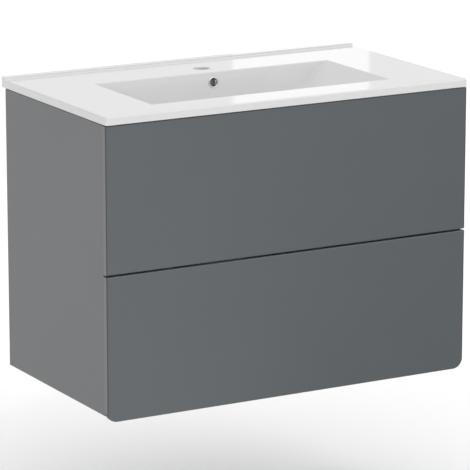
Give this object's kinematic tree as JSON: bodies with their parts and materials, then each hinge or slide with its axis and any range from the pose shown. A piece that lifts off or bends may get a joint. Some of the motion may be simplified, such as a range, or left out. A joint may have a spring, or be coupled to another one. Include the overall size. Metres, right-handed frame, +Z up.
{
  "type": "bathroom vanity cabinet",
  "caption": "Wall-hung bathroom vanity unit: thin-edged white ceramic basin top on a matt anthracite cabinet with two handleless push-to-open drawers.",
  "frame": {"origin": "on the wall plane, midway along the line of bolts that hold the wall rail", "axes": "+X to the right for someone facing the unit, +Y into the wall, +Z up"},
  "size_m": [0.8, 0.451, 0.595],
  "materials": {
    "ceramic": "glazed white vitreous china, high gloss",
    "chrome": "polished chrome plate",
    "front_foil": "MDF board wrapped in matt anthracite foil",
    "carcass_board": "melamine-faced board, matt anthracite",
    "drawer_board": "melamine-faced board, light grey linen print",
    "zinc_steel": "zinc-plated steel",
    "dowel_wood": "plain beech",
    "grey_plastic": "moulded grey plastic",
    "white_plastic": "moulded white plastic",
    "silicone": "clear sanitary silicone",
    "bumper_rubber": "soft black rubber"
  },
  "bodies": {
    "cabinet": {"back_rail_bottom": "carcass_board", "back_rail_top": "carcass_board", "basin_top": "ceramic", "bottom_panel": "carcass_board", "cabinet_runner_screws": "zinc_steel", "cam_bolts": "zinc_steel", "cam_locks": "zinc_steel", "front_rail": "carcass_board", "hanger_covers": "grey_plastic", "hanger_hook_left": "zinc_steel", "hanger_hook_right": "zinc_steel", "hanger_housing_left": "grey_plastic", "hanger_housing_right": "grey_plastic", "hanger_screws": "zinc_steel", "latch_housings": "grey_plastic", "lower_runner_cabinet_left": "zinc_steel", "lower_runner_cabinet_right": "zinc_steel", "overflow_ring": "chrome", "sealant_bead": "silicone", "side_panel_left": "carcass_board", "side_panel_right": "carcass_board", "upper_runner_cabinet_left": "zinc_steel", "upper_runner_cabinet_right": "zinc_steel", "wall_bumpers": "bumper_rubber", "wall_rail": "zinc_steel", "wood_dowels": "dowel_wood"},
    "lower_cages_cabinet": {"lower_ball_cages_cabinet": "zinc_steel"},
    "lower_cages_drawer": {"lower_ball_cages_drawer": "zinc_steel"},
    "lower_drawer": {"lower_drawer_back": "drawer_board", "lower_drawer_base": "drawer_board", "lower_drawer_front": "front_foil", "lower_drawer_inner_front": "drawer_board", "lower_drawer_screws": "zinc_steel", "lower_drawer_side_left": "drawer_board", "lower_drawer_side_right": "drawer_board", "lower_runner_drawer_left": "zinc_steel", "lower_runner_drawer_right": "zinc_steel"},
    "lower_latch_plunger_left": {"lower_latch_plunger_left": "white_plastic"},
    "lower_latch_plunger_right": {"lower_latch_plunger_right": "white_plastic"},
    "lower_runner_middles": {"lower_runner_middle_left": "zinc_steel", "lower_runner_middle_right": "zinc_steel"},
    "upper_cages_cabinet": {"upper_ball_cages_cabinet": "zinc_steel"},
    "upper_cages_drawer": {"upper_ball_cages_drawer": "zinc_steel"},
    "upper_drawer": {"upper_drawer_back_left": "drawer_board", "upper_drawer_back_right": "drawer_board", "upper_drawer_base": "drawer_board", "upper_drawer_front": "front_foil", "upper_drawer_inner_front": "drawer_board", "upper_drawer_screws": "zinc_steel", "upper_drawer_side_left": "drawer_board", "upper_drawer_side_right": "drawer_board", "upper_runner_drawer_left": "zinc_steel", "upper_runner_drawer_right": "zinc_steel", "upper_trap_cheek_left": "drawer_board", "upper_trap_cheek_right": "drawer_board", "upper_trap_wall": "drawer_board"},
    "upper_latch_plunger_left": {"upper_latch_plunger_left": "white_plastic"},
    "upper_latch_plunger_right": {"upper_latch_plunger_right": "white_plastic"},
    "upper_runner_middles": {"upper_runner_middle_left": "zinc_steel", "upper_runner_middle_right": "zinc_steel"}
  },
  "joints": [
    {"name": "upper_drawer_slide", "type": "slide", "parent": "cabinet", "child": "upper_drawer", "axis": [0, -1, 0], "range_m": [0, 0.33]},
    {"name": "upper_runner_middles_slide", "type": "slide", "parent": "cabinet", "child": "upper_runner_middles", "axis": [0, -1, 0], "range_m": [0, 0.165]},
    {"name": "upper_cages_cabinet_slide", "type": "slide", "parent": "cabinet", "child": "upper_cages_cabinet", "axis": [0, -1, 0], "range_m": [0, 0.0825]},
    {"name": "upper_cages_drawer_slide", "type": "slide", "parent": "cabinet", "child": "upper_cages_drawer", "axis": [0, -1, 0], "range_m": [0, 0.2475]},
    {"name": "upper_latch_left_press", "type": "slide", "parent": "cabinet", "child": "upper_latch_plunger_left", "axis": [0, 1, 0], "range_m": [0, 0.003], "stiffness_N_per_m": 200, "springref_m": -0.004},
    {"name": "upper_latch_right_press", "type": "slide", "parent": "cabinet", "child": "upper_latch_plunger_right", "axis": [0, 1, 0], "range_m": [0, 0.003], "stiffness_N_per_m": 200, "springref_m": -0.004},
    {"name": "lower_drawer_slide", "type": "slide", "parent": "cabinet", "child": "lower_drawer", "axis": [0, -1, 0], "range_m": [0, 0.33]},
    {"name": "lower_runner_middles_slide", "type": "slide", "parent": "cabinet", "child": "lower_runner_middles", "axis": [0, -1, 0], "range_m": [0, 0.165]},
    {"name": "lower_cages_cabinet_slide", "type": "slide", "parent": "cabinet", "child": "lower_cages_cabinet", "axis": [0, -1, 0], "range_m": [0, 0.0825]},
    {"name": "lower_cages_drawer_slide", "type": "slide", "parent": "cabinet", "child": "lower_cages_drawer", "axis": [0, -1, 0], "range_m": [0, 0.2475]},
    {"name": "lower_latch_left_press", "type": "slide", "parent": "cabinet", "child": "lower_latch_plunger_left", "axis": [0, 1, 0], "range_m": [0, 0.003], "stiffness_N_per_m": 200, "springref_m": -0.004},
    {"name": "lower_latch_right_press", "type": "slide", "parent": "cabinet", "child": "lower_latch_plunger_right", "axis": [0, 1, 0], "range_m": [0, 0.003], "stiffness_N_per_m": 200, "springref_m": -0.004}
  ],
  "couplings": [
    {"joint": "upper_runner_middles_slide", "follows": "upper_drawer_slide", "ratio": 0.5},
    {"joint": "upper_cages_cabinet_slide", "follows": "upper_drawer_slide", "ratio": 0.25},
    {"joint": "upper_cages_drawer_slide", "follows": "upper_drawer_slide", "ratio": 0.75},
    {"joint": "lower_runner_middles_slide", "follows": "lower_drawer_slide", "ratio": 0.5},
    {"joint": "lower_cages_cabinet_slide", "follows": "lower_drawer_slide", "ratio": 0.25},
    {"joint": "lower_cages_drawer_slide", "follows": "lower_drawer_slide", "ratio": 0.75}
  ]
}
